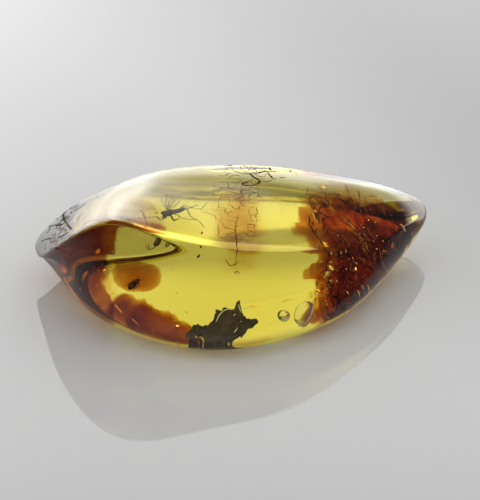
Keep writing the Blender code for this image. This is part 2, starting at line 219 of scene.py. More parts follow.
# What is left of the lump's red-brown skin: a deep layer under each end, which at the left
# goes up the front and the back too, and a thin orange one under the middle of the top. It
# is oxidised resin, clear but dark, and passes into the clear amber with no surface between.
CRUST_GAP = 0.06  # between the polished surface and the crust
LEAST_CRUST = 0.02  # where it is thinner than this it is left out
NO_SURFACE = 1.0  # the IOR between crust and amber
CRUST_COLOUR = (0.79, 0.53, 0.0)
CRUST_DENSITY = 2300.0
RIGHT_CRUST_RISE = (0.0, -1.3, 1.6)  # how far inside the surface it reaches, as a shift of it
RIGHT_CRUST_TOP = 2.4
RIGHT_EDGE = (  # (Y, the X where it starts), and the other edges go the same way
    (-12.0, 6.9), (-2.0, 6.5), (1.0, 6.2), (3.0, 5.6), (5.0, 4.9), (7.0, 5.6), (10.0, 6.2), (13.0, 7.0),
)
CLEAR_TIP = ((5.0, 24.0), (7.5, 18.6), (9.0, 17.4), (12.1, 15.6), (14.0, 12.6))
LEFT_CRUST_RISE = (0.0, -2.6, 1.3)
LEFT_CRUST_TOP = 8.3
TOE_DEPTH = 0.24  # along the lower edge of the front
FRONT_SKIN = 0.9  # up the front of the left end
SKIN_EDGE = -12.8
LEFT_EDGE = ((-14.5, 9.0), (-13.2, 5.0), (-12.2, -0.5), (-9.0, -2.4), (-6.4, -4.2), (-3.2, -6.9),
             (-0.5, -8.4), (2.0, -9.2), (5.6, -9.8), (9.4, -9.6), (14.0, -9.3))
PATCH_MIDDLE = (0.9, -5.8)  # along X, and along the skin from the top face over the ridge
PATCH_HALF = (2.5, 8.2)
PATCH_DEPTH = 0.75


def eased(value, start, end):
    """0 at start, 1 at end, and a smooth rise between."""
    share = min(max((value - start) / (end - start), 0.0), 1.0)
    return share * share * (3 - 2 * share)


def along(table, at):
    """The table's second column at this value of its first."""
    for (a, low), (b, high) in zip(table, table[1:]):
        if at <= b:
            return low + (high - low) * min(max((at - a) / (b - a), 0.0), 1.0)
    return table[-1][1]


def ragged(point, size, seed):
    """Smooth noise from -1 to 1 whose lumps are about this many millimetres across."""
    return noise.noise(Vector(point) / size + Vector((seed, 2.7 * seed, 5.1 * seed)))


def risen(normal, rise):
    """How deep a layer is where its inner face is the surface shifted by the rise."""
    return max(-normal.dot(Vector(rise)), 0.0)


def right_depth(point, normal):
    """How deep the right end's crust is under this point of the polish, all in millimetres."""
    x, y, z = point
    wavy = 0.7 * ragged(point, 2.2, 3.0) + 0.45 * ragged(point, 0.7, 4.0)
    start = along(RIGHT_EDGE, y) + wavy + 0.9 * ragged((0.5 * x, 1.3 * y, z), 0.9, 5.0)
    clear_tip = eased(x + wavy, along(CLEAR_TIP, y) + 0.3, along(CLEAR_TIP, y) - 0.9)
    leaning = (x + 0.3 * y, 0.28 * y, z)
    flames = 1.0 - 3.2 * abs(ragged(leaning, 1.1, 8.0))
    lumps = 0.75 + 0.35 * flames + 0.5 * ragged(leaning, 0.55, 9.0)
    low = eased(z + wavy, RIGHT_CRUST_TOP, RIGHT_CRUST_TOP - 1.4)
    thinner_back = 0.16 + 0.84 * eased(y + wavy, 13.0, 9.8)
    deep = risen(normal, RIGHT_CRUST_RISE) * thinner_back
    ramp = 0.4 * eased(x, start, start + 0.5) + 0.6 * eased(x, start + 0.8, start + 3.4)
    return deep * ramp * clear_tip * max(lumps, 0.12) * low


def left_depth(point, normal):
    """The same for the left end, with the toe along its foot and the skin up its front."""
    x, y, z = point
    wavy = 0.45 * ragged(point, 2.0, 11.0) + 0.2 * ragged(point, 0.6, 12.0)
    edge = along(LEFT_EDGE, y) + wavy
    lumps = 0.9 + 0.4 * ragged(point, 1.8, 13.0) + 0.2 * ragged(point, 0.7, 14.0)
    low = eased(z, LEFT_CRUST_TOP + wavy, LEFT_CRUST_TOP - 1.5 + wavy)
    toe = TOE_DEPTH * eased(-normal.z, -0.1, 0.3) * eased(y, -9.0, -10.5)
    skin = FRONT_SKIN * eased(-normal.y, 0.2, 0.5) * eased(normal.z, 0.62, 0.42)
    skin *= 1 + 1.2 * eased(z, 8.0, 5.0)
    skin_edge = SKIN_EDGE + wavy + 0.7 * eased(z, 7.0, 4.0)
    skin *= eased(x, skin_edge, skin_edge - 0.9)
    worn = 1 - 0.92 * eased(y, -1.0, 1.5) * eased(y, 9.6, 8.4) * eased(x, -13.5, -12.0)
    deep = max(risen(normal, LEFT_CRUST_RISE) * (1 - 0.35 * eased(y, -4.0, -8.0)), toe)
    deep *= eased(x, edge, edge - 0.6) * low * worn
    return min(max(deep, skin) * lumps, 0.4 * (x - TIP_LEFT[0]))


def patch_depth(point, normal):
    """The same for the layer in the middle, which goes over the ridge and fades out below it."""
    x, y, z = point
    over_ridge = min(z - 10.6, 0.0) * eased(-normal.y, 0.4, 0.8)
    off = [(c - m) / h for c, m, h in zip((x, y + over_ridge), PATCH_MIDDLE, PATCH_HALF)]
    wavy = 0.35 * ragged(point, 2.0, 17.0) + 0.2 * ragged(point, 0.7, 18.0)
    inside = eased(math.hypot(*off) + wavy, 1.15, 0.5) * eased(z, 8.2, 9.0)
    fainter = 1 - 0.5 * eased(-normal.y, 0.4, 0.8)
    return PATCH_DEPTH * inside * fainter * (0.8 + 0.5 * ragged(point, 1.6, 19.0))


def closed_mesh(bm, name, smooth=True):
    """The mesh of bm with all its faces turned outward."""
    bmesh.ops.recalc_face_normals(bm, faces=bm.faces)
    mesh = bpy.data.meshes.new(name)
    bm.to_mesh(mesh)
    bm.free()
    if smooth:
        mesh.shade_smooth()
    return mesh


def crust_layer(name, depth):
    """A closed layer under the nugget's surface, as deep at each point as depth says."""
    bm = bmesh.new()
    bm.from_mesh(amber.data)
    thick = {v: max(depth(v.co / MM, v.normal), 0.0) for v in bm.verts}
    bare = [f for f in bm.faces if all(thick[v] < LEAST_CRUST for v in f.verts)]
    bmesh.ops.delete(bm, geom=bare, context="FACES")
    sunk = {v: v.co - v.normal * (CRUST_GAP + max(thick[v], LEAST_CRUST)) * MM for v in bm.verts}
    inner = {v: bm.verts.new(spot) for v, spot in sunk.items()}
    skin = list(bm.faces)
    rim = [e for e in bm.edges if e.is_boundary]
    for face in skin:
        bm.faces.new([inner[v] for v in reversed(face.verts)])
    for edge in rim:
        a, b = edge.verts
        bm.faces.new((a, b, inner[b], inner[a]))
    for v in inner:
        v.co -= v.normal * CRUST_GAP * MM
    return closed_mesh(bm, name)


crust_finish = clear_body("Oxidised crust", CRUST_COLOUR, CRUST_DENSITY, NO_SURFACE)
place("crust_right", crust_layer("crust_right", right_depth), crust_finish, "crust", "crust_right")
place("crust_left", crust_layer("crust_left", left_depth), crust_finish, "crust", "crust_left")
place("crust_middle", crust_layer("crust_middle", patch_depth), crust_finish, "crust")


# ---- the cracks in the crust

# Old resin shrinks as it weathers and its skin breaks into plates. The cracks between the
# plates are filled with dark oxidised dust. The heaviest ones open in the polish itself, at
# the left tip and across the middle of the top face, and the rest lie under the nugget.
CRACK_STEP = 0.22
CRACK_WOBBLE = 0.07
CRACK_HALF_HEIGHT = 0.035
OPEN_CRACKS = (  # (half width, points on or near the polished surface)
    (0.13, (1.7, 5.7, 10.7), (2.7, 6.2, 10.6), (3.6, 7.1, 10.5), (4.6, 7.4, 10.3)),
    (0.11, (3.9, 8.5, 10.3), (4.0, 7.8, 10.4), (4.2, 7.4, 10.3)),
    (0.13, (3.5, 6.9, 10.5), (3.9, 5.9, 10.4), (4.2, 5.2, 10.3), (4.5, 5.5, 10.2)),
    (0.14, (1.7, 5.7, 10.7), (2.1, 5.0, 10.7), (2.8, 4.3, 10.4), (2.6, 3.6, 10.4), (2.3, 3.4, 10.4)),
    (0.12, (2.3, 3.4, 10.4), (1.9, 3.0, 10.5), (1.2, 2.8, 10.6), (0.9, 3.2, 10.7), (1.9, 4.0, 10.6)),
    (0.07, (-0.1, 6.3, 11.0), (0.2, 5.8, 11.0), (0.8, 5.5, 10.9), (1.6, 5.6, 10.8)),
    (0.16, (2.0, 7.7, 10.7), (2.25, 7.5, 10.6), (2.5, 7.4, 10.6)),
    (0.09, (5.5, 8.3, 10.1), (6.0, 8.1, 10.0), (6.4, 8.9, 9.9)),
    (0.06, (6.0, 8.1, 10.0), (6.9, 7.7, 9.8)),
    (0.07, (2.8, 4.2, 10.4), (3.5, 4.4, 10.3), (4.0, 4.8, 10.3)),
    (0.11, (4.9, 5.8, 10.2), (5.5, 6.2, 10.1)),
    (0.15, (-18.0, 5.5, 6.7), (-17.7, 2.2, 7.6), (-17.3, -0.2, 8.3), (-17.8, 0.4, 7.7), (-18.6, 2.5, 6.7)),
    (0.09, (-17.7, 2.2, 7.6), (-17.0, 0.5, 8.4)),
    (0.12, (-16.9, 2.2, 8.3), (-16.6, 1.4, 8.5)),
    (0.11, (-17.3, -0.2, 8.3), (-16.5, -4.5, 9.9)),
    (0.05, (-19.6, 5.7, 5.2), (-19.3, 3.4, 5.9), (-19.7, 3.2, 5.4)),
    (0.08, (-19.4, 4.2, 5.7), (-18.6, 2.6, 6.7)),
    (0.06, (-20.4, 3.0, 4.6), (-19.9, 2.2, 5.2), (-19.0, -0.2, 6.6), (-19.1, -1.3, 6.7)),
    (0.09, (-18.2, -2.5, 7.9), (-18.0, -2.9, 8.2), (-17.3, -4.2, 9.2), (-16.9, -4.4, 9.6)),
    (0.07, (-16.8, -6.0, 9.7), (-16.5, -6.1, 10.1), (-16.1, -6.5, 10.5)),
    (0.04, (-16.0, -3.1, 10.0), (-15.6, -1.5, 9.8)),
    (0.08, (-19.7, 0.6, 5.6), (-19.7, -0.9, 5.6)),
    (0.05, (0.7, -3.5, 12.0), (0.5, -6.5, 12.0), (0.65, -8.8, 11.5), (0.6, -10.2, 10.6), (0.5, -11.6, 9.6)),
    (0.04, (-0.6, -10.9, 9.9), (-0.1, -11.5, 9.5), (0.5, -11.4, 9.6), (0.9, -11.1, 9.8)),
    (0.03, (0.5, -6.5, 12.0), (-0.6, -6.0, 12.0), (-1.2, -4.6, 12.0)),
)
BURIED_CRACKS = (  # (half width, places on the underside)
    (0.05, (-11.4, 0.6), (-10.9, 1.1), (-9.6, 2.3), (-8.9, 2.4)),
    (0.06, (-10.3, 3.2), (-10.6, 0.5)),
    (0.04, (-11.3, 0.1), (-10.7, 0.0)),
)
OPEN_PLATES = (  # (lowest corner, highest corner, plate size, the height they are laid down from)
    ((-21.0, -7.0), (-15.6, 6.5), 1.0, 8.0),
    ((-1.5, 3.0), (4.5, 9.5), 0.9, 14.0),
    ((-1.8, -9.0), (3.2, 4.0), 0.8, 14.0),
)
BURIED_PLATES = (  # (lowest corner, highest corner, the crust that they are in)
    ((6.0, -11.0), (18.0, 14.0), right_depth),
    ((-19.0, -12.0), (-8.0, 11.0), left_depth),
)
PLATE_SIZE = 1.7
CRACKS_KEPT = 0.55
FILM_DENSITY = 90000.0

surface = BVHTree.FromPolygons([v.co.copy() for v in amber.data.vertices],
                               [tuple(face.vertices) for face in amber.data.polygons])


def just_inside(point, depth):
    """The nearest place on the polish to a point in millimetres, this deep, and the normal there."""
    spot, normal, _, _ = surface.find_nearest(Vector(point) * MM)
    return spot - normal * depth * MM, normal


def jagged(route, rng):
    """The route in millimetres with extra points that stray to the sides."""
    points = [Vector(route[0])]
    for start, end in zip(map(Vector, route), map(Vector, route[1:])):
        count = max(int((end - start).length / CRACK_STEP), 1)
        for i in range(1, count):
            stray = Vector([rng.uniform(-CRACK_WOBBLE, CRACK_WOBBLE) for _ in start])
            points.append(start.lerp(end, i / count) + stray)
        points.append(end)
    return points


def join_rings(bm, rings):
    """A closed skin over rings that have equally many corners, with a cap at each end."""
    corners = len(rings[0])
    for ring, after in zip(rings, rings[1:]):
        for k in range(corners):
            n = (k + 1) % corners
            bm.faces.new((ring[k], ring[n], after[n], after[k]))
    bm.faces.new(rings[0][::-1])
    bm.faces.new(rings[-1])


def add_strand(bm, points, normals, half_widths, half_height):
    """A closed four-sided strand through the points, flat against the normals."""
    rings = []
    for i, (point, normal, width) in enumerate(zip(points, normals, half_widths)):
        ahead_of = points[min(i + 1, len(points) - 1)] - points[max(i - 1, 0)]
        side = ahead_of.cross(normal).normalized() * width * MM
        lift = normal * min(half_height, width) * MM
        rings.append([bm.verts.new(point + offset) for offset in (side, lift, -side, -lift)])
    join_rings(bm, rings)


def add_crack(bm, route, half_width, depth, rng):
    """A crack along the route, this deep under the polish, that thins out at its ends."""
    points, normals = zip(*(just_inside(point, depth) for point in jagged(route, rng)))
    last = len(points) - 1
    widths = [half_width * (0.25 + 0.9 * math.sin(math.pi * min(max(i / last, 0.06), 0.94)) ** 0.6)
              * rng.uniform(0.6, 1.25) for i in range(last + 1)]
    add_strand(bm, points, normals, widths, CRACK_HALF_HEIGHT)


def plate_edges(low, high, size, rng):
    """The edges of the irregular plates that a weathered skin between these corners breaks into."""
    counts = [int((b - a) / size) + 1 for a, b in zip(low, high)]
    middles = [Vector([edge + (step + rng.uniform(0.05, 0.95)) * size for edge, step in zip(low, (i, j))])
               for i in range(counts[0]) for j in range(counts[1])]
    verts, _, triangles, *_ = geometry.delaunay_2d_cdt(middles, [], [], 0, 1e-4)
    corner, sharing = {}, {}
    for index, (a, b, c) in enumerate(triangles):
        pa, pb, pc = (verts[k] for k in (a, b, c))
        d = 2 * (pa.x * (pb.y - pc.y) + pb.x * (pc.y - pa.y) + pc.x * (pa.y - pb.y))
        if abs(d) < 1e-6:
            continue
        sq = [p.length_squared for p in (pa, pb, pc)]
        corner[index] = Vector(((sq[0] * (pb.y - pc.y) + sq[1] * (pc.y - pa.y) + sq[2] * (pa.y - pb.y)) / d,
                                (sq[0] * (pc.x - pb.x) + sq[1] * (pa.x - pc.x) + sq[2] * (pb.x - pa.x)) / d))
        for p, q in ((a, b), (b, c), (c, a)):
            sharing.setdefault(frozenset((p, q)), []).append(index)
    return [(corner[t[0]], corner[t[1]]) for t in sharing.values()
            if len(t) == 2 and t[0] in corner and t[1] in corner]


def open_crack_mesh():
    rng = random.Random(7)
    bm = bmesh.new()
    for half_width, *route in OPEN_CRACKS:
        add_crack(bm, route, half_width, 0.0, rng)
    for low, high, size, above in OPEN_PLATES:
        for start, end in plate_edges(low, high, size, rng):
            if rng.random() < CRACKS_KEPT and (end - start).length < 2 * size:
                add_crack(bm, [(*start, above), (*end, above)], rng.uniform(0.018, 0.050), 0.0, rng)
    return closed_mesh(bm, "open_cracks", smooth=False)


def buried_crack_mesh():
    rng = random.Random(11)
    bm = bmesh.new()
    for half_width, *route in BURIED_CRACKS:
        add_crack(bm, [(x, y, 0.0) for x, y in route], half_width, CRUST_GAP, rng)
    for low, high, depth in BURIED_PLATES:
        for start, end in plate_edges(low, high, PLATE_SIZE, rng):
            middle, normal = just_inside((*((start + end) / 2), 0.0), 0.0)
            in_crust = rng.random() < CRACKS_KEPT and depth(middle / MM, normal) > 0.05
            if in_crust and (end - start).length < 3 * PLATE_SIZE:
                add_crack(bm, [(*start, 0.0), (*end, 0.0)], rng.uniform(0.02, 0.05), CRUST_GAP, rng)
    return closed_mesh(bm, "buried_cracks", smooth=False)


def mottled(name, dark, light, scale, roughness, bump, **values):
    """A finish whose colour wanders between two tones, with a bump of the same grain."""
    finish, shader = new_finish(name, dark, Roughness=roughness, **values)
    nodes, links = finish.node_tree.nodes, finish.node_tree.links
    place_on = nodes.new("ShaderNodeTexCoord")
    grain = with_values(nodes.new("ShaderNodeTexNoise"), Scale=scale / MM, Detail=5.0, Roughness=0.65)
    links.new(place_on.outputs["Object"], grain.inputs["Vector"])
    tones = nodes.new("ShaderNodeValToRGB")
    tones.color_ramp.elements[0].position = 0.35
    tones.color_ramp.elements[0].color = (*dark, 1.0)
    tones.color_ramp.elements[1].position = 0.68
    tones.color_ramp.elements[1].color = (*light, 1.0)
    links.new(grain.outputs["Fac"], tones.inputs["Fac"])
    links.new(tones.outputs["Color"], shader.inputs["Base Color"])
    relief = with_values(nodes.new("ShaderNodeBump"), Strength=bump, Distance=0.05 * MM)
    links.new(grain.outputs["Fac"], relief.inputs["Height"])
    links.new(relief.outputs["Normal"], shader.inputs["Normal"])
    return finish


crack_finish = mottled("Dark dust in cracks", (0.018, 0.005, 0.003), (0.09, 0.024, 0.010), 1.5, 0.75, 0.4,
                       Specular_IOR_Level=0.1)
place("open_cracks", open_crack_mesh(), crack_finish, "bark")
film_finish = clear_body("Brown film in cracks", CRUST_COLOUR, FILM_DENSITY, NO_SURFACE)
place("buried_cracks", buried_crack_mesh(), film_finish, "crust")


# ---- the streaks and glints in the crust

# The crusts at both ends are full of old fractures. At the right end some hold brown dust and
# run as curved streaks, mostly from the back to the front. Others are closed, and their faces
# flash gold where they catch the light.
STREAKS = (  # (how many, lowest corner, highest corner, lean along X for each millimetre forward)
    (60, (6.6, -7.0, 0.3), (18.0, 13.0, 2.0), 0.30),
    (16, (6.2, -6.0, 0.2), (8.6, 11.5, 0.8), 0.10),
)
STREAK_POINTS = 13
STREAK_HALF_HEIGHT = 0.05
GLINTS = (  # (how many, lowest corner, highest corner)
    (230, (7.0, -9.0, 0.4), (19.0, 12.5, 4.5)),
    (220, (-18.0, -10.0, 0.8), (-11.5, 7.0, 7.5)),
    (26, (-13.0, -12.5, 0.8), (-3.0, -6.0, 2.5)),
)
GLINT_SIZES = (0.06, 0.34)


def deep_inside(point, least):
    """Whether the point, in millimetres, is in the nugget and at least this far from its surface."""
    spot, normal, _, _ = surface.find_nearest(Vector(point) * MM)
    return (spot - Vector(point) * MM).dot(normal) > least * MM


def streak_mesh():
    rng = random.Random(23)
    bm = bmesh.new()
    last = STREAK_POINTS - 1
    for count, low, high, lean in STREAKS:
        made = 0
        while made < count:
            start = Vector([rng.uniform(a, b) for a, b in zip(low, high)])
            length = rng.uniform(0.8, 2.8)
            bend = rng.uniform(-0.14, 0.14)
            heading = rng.gauss(0.0, 0.3)
            route = []
            for i in range(STREAK_POINTS):
                t = i / last - 0.5
                route.append(start + Vector((
                    length * (-lean * t + bend * (4 * t * t - 0.5)) + length * heading * t,
                    length * t, 0.25 * math.sin(3.0 * t + heading))))
            if all(deep_inside(p, 0.15) for p in route):
                half_width = rng.uniform(0.03, 0.12)
                widths = [half_width * math.sin(math.pi * (0.06 + 0.88 * i / last)) * rng.uniform(0.55, 1.3)
                          for i in range(STREAK_POINTS)]
                tilt = Vector((rng.gauss(0, 0.5), rng.gauss(0, 0.3), 1.0)).normalized()
                route = [p * MM for p in route]
                add_strand(bm, route, [tilt] * STREAK_POINTS, widths, STREAK_HALF_HEIGHT)
                made += 1
    return closed_mesh(bm, "dusty_streaks", smooth=False)


def add_lens(bm, middle, facing, size, stretch, rng):
    """A thin curved flake with an uneven outline."""
    turn = facing.to_track_quat("Z", "Y").to_matrix().to_4x4()
    spin = Matrix.Rotation(rng.uniform(0, math.tau), 4, "Z")
    set_down = Matrix.Translation(middle * MM) @ turn @ spin
    around = 10
    cup = rng.uniform(-0.3, 0.3)
    outline = [size * rng.uniform(0.75, 1.15) for _ in range(around)]
    sides = []
    for lift in (0.012, -0.012):
        rings = []
        for share in (1.0, 0.55):
            ring = []
            for k in range(around):
                r = outline[k] * share
                a = math.tau * k / around
                height_at = cup * r * r / size + (lift if share < 1 else lift * 0.3)
                spot = Vector((r * math.cos(a) * stretch * MM, r * math.sin(a) * MM, height_at * MM))
                ring.append(bm.verts.new(set_down @ spot))
            rings.append(ring)
        top = bm.verts.new(set_down @ Vector((0, 0, lift * MM)))
        for k in range(around):
            n = (k + 1) % around
            bm.faces.new((rings[0][k], rings[0][n], rings[1][n], rings[1][k]))
            bm.faces.new((rings[1][k], rings[1][n], top))
        sides.append(rings[0])
    for k in range(around):
        n = (k + 1) % around
        bm.faces.new((sides[0][k], sides[1][k], sides[1][n], sides[0][n]))


def glint_mesh():
    rng = random.Random(31)
    bm = bmesh.new()
    for count, low, high in GLINTS:
        made = 0
        while made < count:
            middle = Vector([rng.uniform(a, b) for a, b in zip(low, high)])
            if not deep_inside(middle, 0.5):
                continue
            facing = Vector((rng.gauss(0, 1), rng.gauss(-0.4, 1), rng.gauss(0.5, 1))).normalized()
            small, large = GLINT_SIZES
            size = small + (large - small) * rng.random() ** 5
            add_lens(bm, middle, facing, size * 0.5, rng.uniform(1.2, 3.2), rng)
            made += 1
    return closed_mesh(bm, "fracture_glints")


streak_finish = mottled("Brown dust in fractures", (0.03, 0.008, 0.004), (0.16, 0.036, 0.010), 0.8, 0.6, 0.3)
place("dusty_streaks", streak_mesh(), streak_finish, "bark")
glint_finish = mottled("Closed fracture faces", (0.85, 0.40, 0.10), (1.0, 0.72, 0.30), 2.0, 0.12, 0.15,
                       Metallic=1.0)
place("fracture_glints", glint_mesh(), glint_finish, "amber")


# ---- the gnat

# A fungus gnat that the resin caught whole: a humped dark body with a ringed abdomen, hair-thin
# jointed legs trailing behind it and two smoky wings with dark veins. Places on it are
# millimetres from the middle of its thorax, along X, up the slope it lies on and out of that.
SLOPE = Matrix.Translation((0.0, -6.6 * MM, 4.7 * MM)) @ Matrix.Rotation(math.radians(39), 4, "X")
GNAT_PLACE = Vector((-7.3, 5.55, 0.0))
BODY_TURN = math.radians(34)
ABDOMEN = (  # (along the body, half width) from the waist to the tail
    (0.30, 0.20), (0.55, 0.29), (0.80, 0.33), (1.10, 0.33), (1.40, 0.31), (1.70, 0.27),
    (2.00, 0.20), (2.30, 0.13), (2.58, 0.06),
)
ABDOMEN_RINGS = 7
WING_OUTLINE = (
    (0.24, 0.30), (0.20, 0.90), (0.16, 1.60), (0.28, 2.30), (0.62, 2.90), (1.05, 3.30),
    (1.45, 3.46), (1.76, 3.30), (1.90, 2.80), (1.74, 2.20), (1.40, 1.60), (0.95, 1.00), (0.55, 0.40),
)
WING_VEINS = (
    ((0.40, 0.30), (0.24, 1.00), (0.30, 2.10), (0.66, 2.86), (1.20, 3.30)),
    ((0.42, 0.40), (0.44, 1.30), (0.72, 2.30), (1.44, 3.40)),
    ((0.44, 0.40), (0.70, 1.30), (1.20, 2.20), (1.72, 3.20)),
    ((0.46, 0.40), (0.90, 1.20), (1.50, 2.00), (1.82, 2.60)),
    ((0.44, 1.30), (0.70, 1.30)),
)
WINGS = ((0.0, 0.16, 3.0), (-0.16, -0.18, 12.0))  # (shift along X, out of the slope, turn)
WING_THICKNESS = 0.014
LEGS = (
    ((0.20, -0.10, 0.20), (0.52, -0.38, 0.32), (0.63, -1.20, 0.30), (1.30, -0.50, 0.30)),
    ((0.10, -0.10, -0.20), (0.36, -0.50, -0.32), (0.46, -1.05, -0.30), (1.10, -0.75, -0.30)),
    ((0.40, 0.05, 0.20), (1.08, 0.02, 0.34), (1.47, -0.42, 0.34), (2.16, -0.53, 0.30), (3.05, -0.44, 0.20)),
    ((0.40, 0.20, -0.20), (1.20, 0.60, -0.44), (1.90, 1.00, -0.44), (2.49, 1.38, -0.36),
     (2.96, 1.81, -0.28), (3.45, 2.03, -0.20)),
    ((0.50, 0.15, 0.20), (1.42, 0.43, 0.40), (2.20, 1.22, 0.40), (2.53, 0.00, 0.36), (3.44, -0.75, 0.24),
     (3.83, -1.52, 0.10)),
    ((0.50, 0.35, -0.20), (1.30, 0.95, -0.34), (2.02, 1.80, -0.34), (2.49, 1.45, -0.30), (3.17, 1.45, -0.24),
     (3.70, 1.30, -0.16), (4.42, 2.50, 0.0)),
)
THIGH, SHIN, TOES = 0.11, 0.070, 0.045  # half thicknesses along a leg
LIMB_STEPS = 8
THORAX_HAIRS = 90
WING_DENSITY = 18000.0
ANTENNAE = (
    ((-0.32, -0.80, 0.12), (-0.45, -1.15, 0.18), (-0.84, -1.40, 0.20), (-0.93, -0.76, 0.22)),
    ((-0.32, -0.80, -0.12), (-0.52, -1.05, -0.18), (-0.88, -1.22, -0.20), (-1.12, -0.70, -0.22)),
)


def smooth_route(points, steps):
    """Points on a smooth curve through the given ones."""
    points = [Vector(p) for p in points]
    ends = [points[0] * 2 - points[1], *points, points[-1] * 2 - points[-2]]
    route = []
    for a, b, c, d in zip(ends, ends[1:], ends[2:], ends[3:]):
        for i in range(steps):
            t = i / steps
            route.append(0.5 * (2 * b + (c - a) * t + (2 * a - 5 * b + 4 * c - d) * t ** 2
                                + (3 * b - a - 3 * c + d) * t ** 3))
    return route + [points[-1]]


def add_tube(bm, route, radii, sides=8):
    """A closed round tube along the route, with this radius at each of its points."""
    rings = []
    side = None
    for i, (point, radius) in enumerate(zip(route, radii)):
        heading = (route[min(i + 1, len(route) - 1)] - route[max(i - 1, 0)]).normalized()
        start = side if side else heading.orthogonal()
        side = (start - heading * start.dot(heading)).normalized()
        up = heading.cross(side)
        rings.append([bm.verts.new(point + (side * math.cos(a) + up * math.sin(a)) * radius)
                      for a in (math.tau * k / sides for k in range(sides))])
    join_rings(bm, rings)


def add_ball(bm, middle, half_axes, turn=0.0, rough=0.0, seed=0.0, detail=20):
    """An ellipsoid turned about the slope's normal, its surface a little uneven."""
    made = bmesh.ops.create_uvsphere(bm, u_segments=detail, v_segments=detail // 2 + 2, radius=1.0)
    spread = Matrix.Translation(middle) @ Matrix.Rotation(turn, 4, "Z") @ Matrix.Diagonal((*half_axes, 1.0))
    for v in made["verts"]:
        v.co = v.co * (1 + rough * ragged(v.co, 0.5, seed))
    bmesh.ops.transform(bm, matrix=spread, verts=made["verts"])


def on_slope(bm, name, place_at=(0.0, 0.0, 0.0), smooth=True):
    """The mesh of bm, whose points are millimetres in the slope's frame from place_at."""
    set_down = SLOPE @ Matrix.Scale(MM, 4) @ Matrix.Translation(place_at)
    bmesh.ops.transform(bm, matrix=set_down, verts=bm.verts)
    return closed_mesh(bm, name, smooth)


def add_bristles(bm, route, radius, rng, every, length):
    """Short hairs that stand out from a limb."""
    for i in range(1, len(route) - 1, every):
        heading = (route[i + 1] - route[i]).normalized()
        out = Vector([rng.gauss(0, 1) for _ in range(3)])
        out = (out - heading * out.dot(heading)).normalized() + heading * 0.7
        tip = route[i] + out * length
        add_tube(bm, [route[i], route[i].lerp(tip, 0.5), tip], [radius, radius * 0.7, radius * 0.3], 4)


def gnat_body():
    rng = random.Random(41)
    bm = bmesh.new()
    along_body = Vector((math.cos(BODY_TURN), math.sin(BODY_TURN), 0.0))
    add_ball(bm, (0.02, -0.04, 0.0), (0.64, 0.47, 0.42), BODY_TURN, 0.08, 1.0, 28)
    add_ball(bm, (-0.30, -0.70, 0.0), (0.24, 0.25, 0.25), 0.3, 0.05, 2.0)
    for side in (0.14, -0.14):
        add_ball(bm, (-0.36, -0.76, side), (0.15, 0.17, 0.13), 0.3, 0.03, 3.0)
    neck = smooth_route(((-0.12, -0.36, 0.0), (-0.22, -0.52, 0.0), (-0.28, -0.66, 0.0)), 4)
    add_tube(bm, neck, [0.12] * len(neck), 10)
    spots = [at for at, _ in ABDOMEN]
    steps = 9 * ABDOMEN_RINGS
    route, radii = [], []
    for i in range(steps + 1):
        t = i / steps
        at = spots[0] + (spots[-1] - spots[0]) * t
        ring = (t * ABDOMEN_RINGS) % 1.0
        sag = Vector((0.0, -0.12, 0.0)) * math.sin(math.pi * t)
        route.append(along_body * at + sag)
        swell = 0.86 + 0.14 * math.sin(math.pi * min(ring * 1.25, 1.0)) ** 0.5
        radii.append(along(ABDOMEN, at) * swell)
    add_tube(bm, route, radii, 18)
    for leg in LEGS:
        joints = [Vector(p) for p in leg]
        last = len(joints) - 1
        for i, (start, end) in enumerate(zip(joints, joints[1:])):
            toes = TOES + (SHIN - TOES) * max(0.0, 1 - (i - 1) / (last - 1))
            thick = (THIGH, SHIN, toes)[min(i, 2)]
            shares = [k / LIMB_STEPS for k in range(LIMB_STEPS + 1)]
            limb = [start.lerp(end, share) for share in shares]
            bulge = [thick * (0.62 + 0.38 * math.sin(math.pi * min(share * 1.1, 1.0))) for share in shares]
            add_tube(bm, limb, bulge, 7)
            add_ball(bm, end, (thick * 0.62,) * 3, detail=8)
            add_bristles(bm, limb, 0.008, rng, 2, 0.13)
    for feeler in ANTENNAE:
        route = smooth_route(feeler, 5)
        add_tube(bm, route, [0.040 - 0.016 * i / len(route) + 0.010 * (i % 2) for i in range(len(route))], 7)
        add_bristles(bm, route, 0.006, rng, 2, 0.07)
    for _ in range(THORAX_HAIRS):
        out = Vector([rng.gauss(0, 1) for _ in range(3)]).normalized()
        root = Vector((out.x * 0.60, out.y * 0.44, out.z * 0.40))
        root.rotate(Matrix.Rotation(BODY_TURN, 3, "Z"))
        out.rotate(Matrix.Rotation(BODY_TURN, 3, "Z"))
        hair = [root, root + out * 0.07, root + out * 0.13 + along_body * 0.04]
        add_tube(bm, hair, [0.007, 0.006, 0.002], 4)
    for shift, out, turn in WINGS:
        for vein in WING_VEINS:
            route = [Vector((u + shift, v, out)) for u, v, _ in smooth_route([(*p, 0.0) for p in vein], 6)]
            route = [Matrix.Rotation(math.radians(turn), 3, "Z") @ p for p in route]
            add_tube(bm, route, [0.034 - 0.014 * i / len(route) for i in range(len(route))], 5)
    return on_slope(bm, "gnat_body", GNAT_PLACE)


def gnat_wings():
    bm = bmesh.new()
    for shift, out, turn in WINGS:
        outline = [Matrix.Rotation(math.radians(turn), 3, "Z") @ Vector((p.x + shift, p.y, out))
                   for p in smooth_route([(*p, 0.0) for p in (*WING_OUTLINE, WING_OUTLINE[0])], 4)[:-1]]
        half = Vector((0.0, 0.0, WING_THICKNESS / 2))
        faces = [bm.faces.new([bm.verts.new(p + lift) for p in outline]) for lift in (half, -half)]
        upper, lower = (list(face.verts) for face in faces)
        for k in range(len(outline)):
            n = (k + 1) % len(outline)
            bm.faces.new((upper[k], lower[k], lower[n], upper[n]))
    return on_slope(bm, "gnat_wings", GNAT_PLACE, smooth=False)


